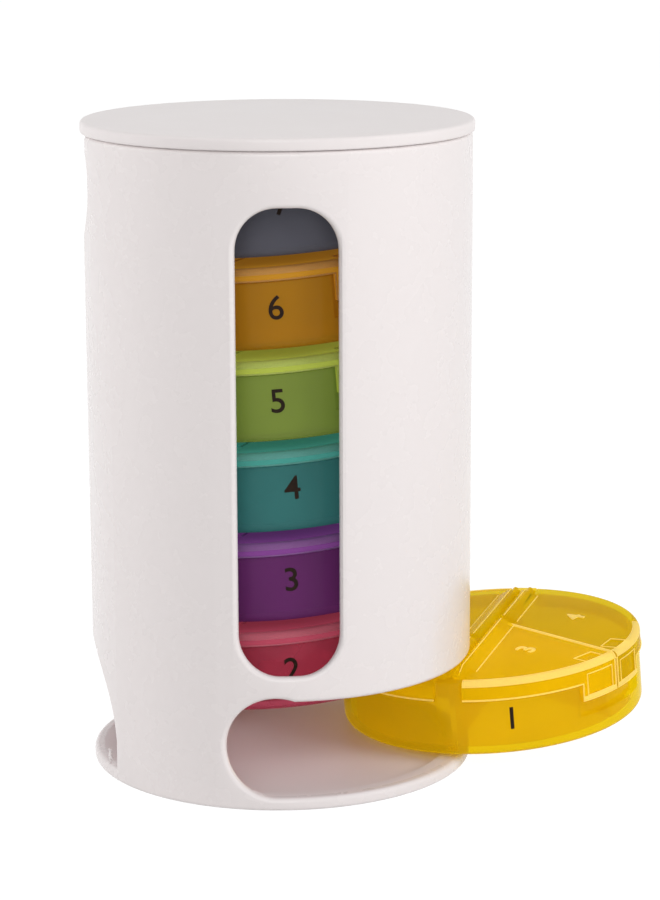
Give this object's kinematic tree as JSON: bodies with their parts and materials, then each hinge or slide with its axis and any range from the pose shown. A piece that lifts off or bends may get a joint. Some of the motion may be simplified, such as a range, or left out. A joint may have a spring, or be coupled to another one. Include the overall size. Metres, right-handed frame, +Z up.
{
  "type": "weekly pill organizer",
  "caption": "Upright tube with a front window and a lift-off cap, holding a stack of round trays with hinged lids; the lowest tray draws out at the foot.",
  "frame": {"origin": "centre of the tube's flat underside", "axes": "+Z up along the tube, -Y towards the window, +X the side where the lowest tray draws out"},
  "size_m": [0.1191, 0.0872, 0.1353],
  "materials": {
    "tube_plastic": "glossy white injection-moulded plastic",
    "cap_plastic": "satin white injection-moulded plastic",
    "amber_tray_plastic": "translucent tinted plastic with a soft sheen",
    "red_tray_plastic": "translucent tinted plastic with a soft sheen",
    "purple_tray_plastic": "translucent tinted plastic with a soft sheen",
    "teal_tray_plastic": "translucent tinted plastic with a soft sheen",
    "green_tray_plastic": "translucent tinted plastic with a soft sheen",
    "orange_tray_plastic": "translucent tinted plastic with a soft sheen",
    "grey_blue_tray_plastic": "translucent tinted plastic with a soft sheen"
  },
  "bodies": {
    "case_body": {"case_body": "tube_plastic"},
    "cap": {"cap": "cap_plastic"},
    "tray_1": {"tray_1": "amber_tray_plastic"},
    "tray_2": {"tray_2": "red_tray_plastic"},
    "tray_3": {"tray_3": "purple_tray_plastic"},
    "tray_4": {"tray_4": "teal_tray_plastic"},
    "tray_5": {"tray_5": "green_tray_plastic"},
    "tray_6": {"tray_6": "orange_tray_plastic"},
    "tray_7": {"tray_7": "grey_blue_tray_plastic"},
    "tray_1_lid_front_right": {"tray_1_lid_front_right": "amber_tray_plastic"},
    "tray_1_lid_back_right": {"tray_1_lid_back_right": "amber_tray_plastic"},
    "tray_1_lid_back_left": {"tray_1_lid_back_left": "amber_tray_plastic"},
    "tray_1_lid_front_left": {"tray_1_lid_front_left": "amber_tray_plastic"},
    "tray_2_lid_front_right": {"tray_2_lid_front_right": "red_tray_plastic"},
    "tray_2_lid_back_right": {"tray_2_lid_back_right": "red_tray_plastic"},
    "tray_2_lid_back_left": {"tray_2_lid_back_left": "red_tray_plastic"},
    "tray_2_lid_front_left": {"tray_2_lid_front_left": "red_tray_plastic"},
    "tray_3_lid_front_right": {"tray_3_lid_front_right": "purple_tray_plastic"},
    "tray_3_lid_back_right": {"tray_3_lid_back_right": "purple_tray_plastic"},
    "tray_3_lid_back_left": {"tray_3_lid_back_left": "purple_tray_plastic"},
    "tray_3_lid_front_left": {"tray_3_lid_front_left": "purple_tray_plastic"},
    "tray_4_lid_front_right": {"tray_4_lid_front_right": "teal_tray_plastic"},
    "tray_4_lid_back_right": {"tray_4_lid_back_right": "teal_tray_plastic"},
    "tray_4_lid_back_left": {"tray_4_lid_back_left": "teal_tray_plastic"},
    "tray_4_lid_front_left": {"tray_4_lid_front_left": "teal_tray_plastic"},
    "tray_5_lid_front_right": {"tray_5_lid_front_right": "green_tray_plastic"},
    "tray_5_lid_back_right": {"tray_5_lid_back_right": "green_tray_plastic"},
    "tray_5_lid_back_left": {"tray_5_lid_back_left": "green_tray_plastic"},
    "tray_5_lid_front_left": {"tray_5_lid_front_left": "green_tray_plastic"},
    "tray_6_lid_front_right": {"tray_6_lid_front_right": "orange_tray_plastic"},
    "tray_6_lid_back_right": {"tray_6_lid_back_right": "orange_tray_plastic"},
    "tray_6_lid_back_left": {"tray_6_lid_back_left": "orange_tray_plastic"},
    "tray_6_lid_front_left": {"tray_6_lid_front_left": "orange_tray_plastic"},
    "tray_7_lid_front_right": {"tray_7_lid_front_right": "grey_blue_tray_plastic"},
    "tray_7_lid_back_right": {"tray_7_lid_back_right": "grey_blue_tray_plastic"},
    "tray_7_lid_back_left": {"tray_7_lid_back_left": "grey_blue_tray_plastic"},
    "tray_7_lid_front_left": {"tray_7_lid_front_left": "grey_blue_tray_plastic"}
  },
  "joints": [
    {"name": "cap_lift", "type": "slide", "parent": "case_body", "child": "cap", "axis": [0, 0, 1], "range_m": [0, 0.04]},
    {"name": "lowest_tray_draw", "type": "hinge", "parent": "case_body", "child": "tray_1", "pos_m": [0, 0, 0.55937], "axis": [0.2924, -0.9563, 0], "range_deg": [-5, 3]},
    {"name": "tray_2_lean", "type": "hinge", "parent": "case_body", "child": "tray_2", "pos_m": [0.02486, 0.0076, 0.0299], "axis": [0.2924, -0.9563, 0], "range_deg": [-5, 3]},
    {"name": "tray_3_lean", "type": "hinge", "parent": "case_body", "child": "tray_3", "pos_m": [0.02486, 0.0076, 0.0484], "axis": [0.2924, -0.9563, 0], "range_deg": [-5, 3]},
    {"name": "tray_4_lean", "type": "hinge", "parent": "case_body", "child": "tray_4", "pos_m": [0.02486, 0.0076, 0.0669], "axis": [0.2924, -0.9563, 0], "range_deg": [-5, 3]},
    {"name": "tray_5_lean", "type": "hinge", "parent": "case_body", "child": "tray_5", "pos_m": [0.02486, 0.0076, 0.0854], "axis": [0.2924, -0.9563, 0], "range_deg": [-5, 3]},
    {"name": "tray_6_lean", "type": "hinge", "parent": "case_body", "child": "tray_6", "pos_m": [0.02486, 0.0076, 0.1039], "axis": [0.2924, -0.9563, 0], "range_deg": [-5, 3]},
    {"name": "tray_7_lean", "type": "hinge", "parent": "case_body", "child": "tray_7", "pos_m": [0.02486, 0.0076, 0.1224], "axis": [0.2924, -0.9563, 0], "range_deg": [-5, 3]},
    {"name": "tray_1_lid_front_right_hinge", "type": "hinge", "parent": "tray_1", "child": "tray_1_lid_front_right", "pos_m": [0.04659, 0.01319, 0.02167], "axis": [-0.3316, -0.942, -0.0518], "range_deg": [0, 75]},
    {"name": "tray_1_lid_back_right_hinge", "type": "hinge", "parent": "tray_1", "child": "tray_1_lid_back_right", "pos_m": [0.04659, 0.01319, 0.02167], "axis": [-0.3316, -0.942, -0.0518], "range_deg": [0, 85]},
    {"name": "tray_1_lid_back_left_hinge", "type": "hinge", "parent": "tray_1", "child": "tray_1_lid_back_left", "pos_m": [0.0434, 0.01433, 0.02144], "axis": [0.3316, 0.942, 0.0518], "range_deg": [0, 4]},
    {"name": "tray_1_lid_front_left_hinge", "type": "hinge", "parent": "tray_1", "child": "tray_1_lid_front_left", "pos_m": [0.0434, 0.01433, 0.02144], "axis": [0.3316, 0.942, 0.0518], "range_deg": [0, 3]},
    {"name": "tray_2_lid_front_right_hinge", "type": "hinge", "parent": "tray_2", "child": "tray_2_lid_front_right", "pos_m": [0.00089, -0.00095, 0.03631], "axis": [-0.4437, -0.8942, -0.06], "range_deg": [0, 3]},
    {"name": "tray_2_lid_back_right_hinge", "type": "hinge", "parent": "tray_2", "child": "tray_2_lid_back_right", "pos_m": [0.00089, -0.00095, 0.03631], "axis": [-0.4437, -0.8942, -0.06], "range_deg": [0, 3]},
    {"name": "tray_2_lid_back_left_hinge", "type": "hinge", "parent": "tray_2", "child": "tray_2_lid_back_left", "pos_m": [-0.00214, 0.00057, 0.03609], "axis": [0.4437, 0.8942, 0.06], "range_deg": [0, 3]},
    {"name": "tray_2_lid_front_left_hinge", "type": "hinge", "parent": "tray_2", "child": "tray_2_lid_front_left", "pos_m": [-0.00214, 0.00057, 0.03609], "axis": [0.4437, 0.8942, 0.06], "range_deg": [0, 3]},
    {"name": "tray_3_lid_front_right_hinge", "type": "hinge", "parent": "tray_3", "child": "tray_3_lid_front_right", "pos_m": [0.0009, -0.00094, 0.05481], "axis": [-0.4359, -0.898, -0.0594], "range_deg": [0, 3]},
    {"name": "tray_3_lid_back_right_hinge", "type": "hinge", "parent": "tray_3", "child": "tray_3_lid_back_right", "pos_m": [0.0009, -0.00094, 0.05481], "axis": [-0.4359, -0.898, -0.0594], "range_deg": [0, 3]},
    {"name": "tray_3_lid_back_left_hinge", "type": "hinge", "parent": "tray_3", "child": "tray_3_lid_back_left", "pos_m": [-0.00215, 0.00056, 0.05459], "axis": [0.4359, 0.898, 0.0594], "range_deg": [0, 3]},
    {"name": "tray_3_lid_front_left_hinge", "type": "hinge", "parent": "tray_3", "child": "tray_3_lid_front_left", "pos_m": [-0.00215, 0.00056, 0.05459], "axis": [0.4359, 0.898, 0.0594], "range_deg": [0, 3]},
    {"name": "tray_4_lid_front_right_hinge", "type": "hinge", "parent": "tray_4", "child": "tray_4_lid_front_right", "pos_m": [0.0009, -0.00094, 0.07331], "axis": [-0.4359, -0.898, -0.0594], "range_deg": [0, 3]},
    {"name": "tray_4_lid_back_right_hinge", "type": "hinge", "parent": "tray_4", "child": "tray_4_lid_back_right", "pos_m": [0.0009, -0.00094, 0.07331], "axis": [-0.4359, -0.898, -0.0594], "range_deg": [0, 3]},
    {"name": "tray_4_lid_back_left_hinge", "type": "hinge", "parent": "tray_4", "child": "tray_4_lid_back_left", "pos_m": [-0.00215, 0.00056, 0.07309], "axis": [0.4359, 0.898, 0.0594], "range_deg": [0, 3]},
    {"name": "tray_4_lid_front_left_hinge", "type": "hinge", "parent": "tray_4", "child": "tray_4_lid_front_left", "pos_m": [-0.00215, 0.00056, 0.07309], "axis": [0.4359, 0.898, 0.0594], "range_deg": [0, 3]},
    {"name": "tray_5_lid_front_right_hinge", "type": "hinge", "parent": "tray_5", "child": "tray_5_lid_front_right", "pos_m": [0.00083, -0.00107, 0.0918], "axis": [-0.5123, -0.8563, -0.0648], "range_deg": [0, 3]},
    {"name": "tray_5_lid_back_right_hinge", "type": "hinge", "parent": "tray_5", "child": "tray_5_lid_back_right", "pos_m": [0.00083, -0.00107, 0.0918], "axis": [-0.5123, -0.8563, -0.0648], "range_deg": [0, 3]},
    {"name": "tray_5_lid_back_left_hinge", "type": "hinge", "parent": "tray_5", "child": "tray_5_lid_back_left", "pos_m": [-0.00208, 0.00069, 0.0916], "axis": [0.5123, 0.8563, 0.0648], "range_deg": [0, 3]},
    {"name": "tray_5_lid_front_left_hinge", "type": "hinge", "parent": "tray_5", "child": "tray_5_lid_front_left", "pos_m": [-0.00208, 0.00069, 0.0916], "axis": [0.5123, 0.8563, 0.0648], "range_deg": [0, 3]},
    {"name": "tray_6_lid_front_right_hinge", "type": "hinge", "parent": "tray_6", "child": "tray_6_lid_front_right", "pos_m": [0.00082, -0.00108, 0.1103], "axis": [-0.5198, -0.8518, -0.0653], "range_deg": [0, 3]},
    {"name": "tray_6_lid_back_right_hinge", "type": "hinge", "parent": "tray_6", "child": "tray_6_lid_back_right", "pos_m": [0.00082, -0.00108, 0.1103], "axis": [-0.5198, -0.8518, -0.0653], "range_deg": [0, 3]},
    {"name": "tray_6_lid_back_left_hinge", "type": "hinge", "parent": "tray_6", "child": "tray_6_lid_back_left", "pos_m": [-0.00207, 0.0007, 0.1101], "axis": [0.5198, 0.8518, 0.0653], "range_deg": [0, 3]},
    {"name": "tray_6_lid_front_left_hinge", "type": "hinge", "parent": "tray_6", "child": "tray_6_lid_front_left", "pos_m": [-0.00207, 0.0007, 0.1101], "axis": [0.5198, 0.8518, 0.0653], "range_deg": [0, 3]},
    {"name": "tray_7_lid_front_right_hinge", "type": "hinge", "parent": "tray_7", "child": "tray_7_lid_front_right", "pos_m": [0.00086, -0.00102, 0.1288], "axis": [-0.4822, -0.8738, -0.0627], "range_deg": [0, 3]},
    {"name": "tray_7_lid_back_right_hinge", "type": "hinge", "parent": "tray_7", "child": "tray_7_lid_back_right", "pos_m": [0.00086, -0.00102, 0.1288], "axis": [-0.4822, -0.8738, -0.0627], "range_deg": [0, 3]},
    {"name": "tray_7_lid_back_left_hinge", "type": "hinge", "parent": "tray_7", "child": "tray_7_lid_back_left", "pos_m": [-0.0021, 0.00064, 0.1286], "axis": [0.4822, 0.8738, 0.0627], "range_deg": [0, 3]},
    {"name": "tray_7_lid_front_left_hinge", "type": "hinge", "parent": "tray_7", "child": "tray_7_lid_front_left", "pos_m": [-0.0021, 0.00064, 0.1286], "axis": [0.4822, 0.8738, 0.0627], "range_deg": [0, 3]}
  ],
  "couplings": [
    {"joint": "tray_2_lean", "follows": "lowest_tray_draw", "ratio": 1},
    {"joint": "tray_3_lean", "follows": "lowest_tray_draw", "ratio": 1},
    {"joint": "tray_4_lean", "follows": "lowest_tray_draw", "ratio": 1},
    {"joint": "tray_5_lean", "follows": "lowest_tray_draw", "ratio": 1},
    {"joint": "tray_6_lean", "follows": "lowest_tray_draw", "ratio": 1},
    {"joint": "tray_7_lean", "follows": "lowest_tray_draw", "ratio": 1}
  ]
}
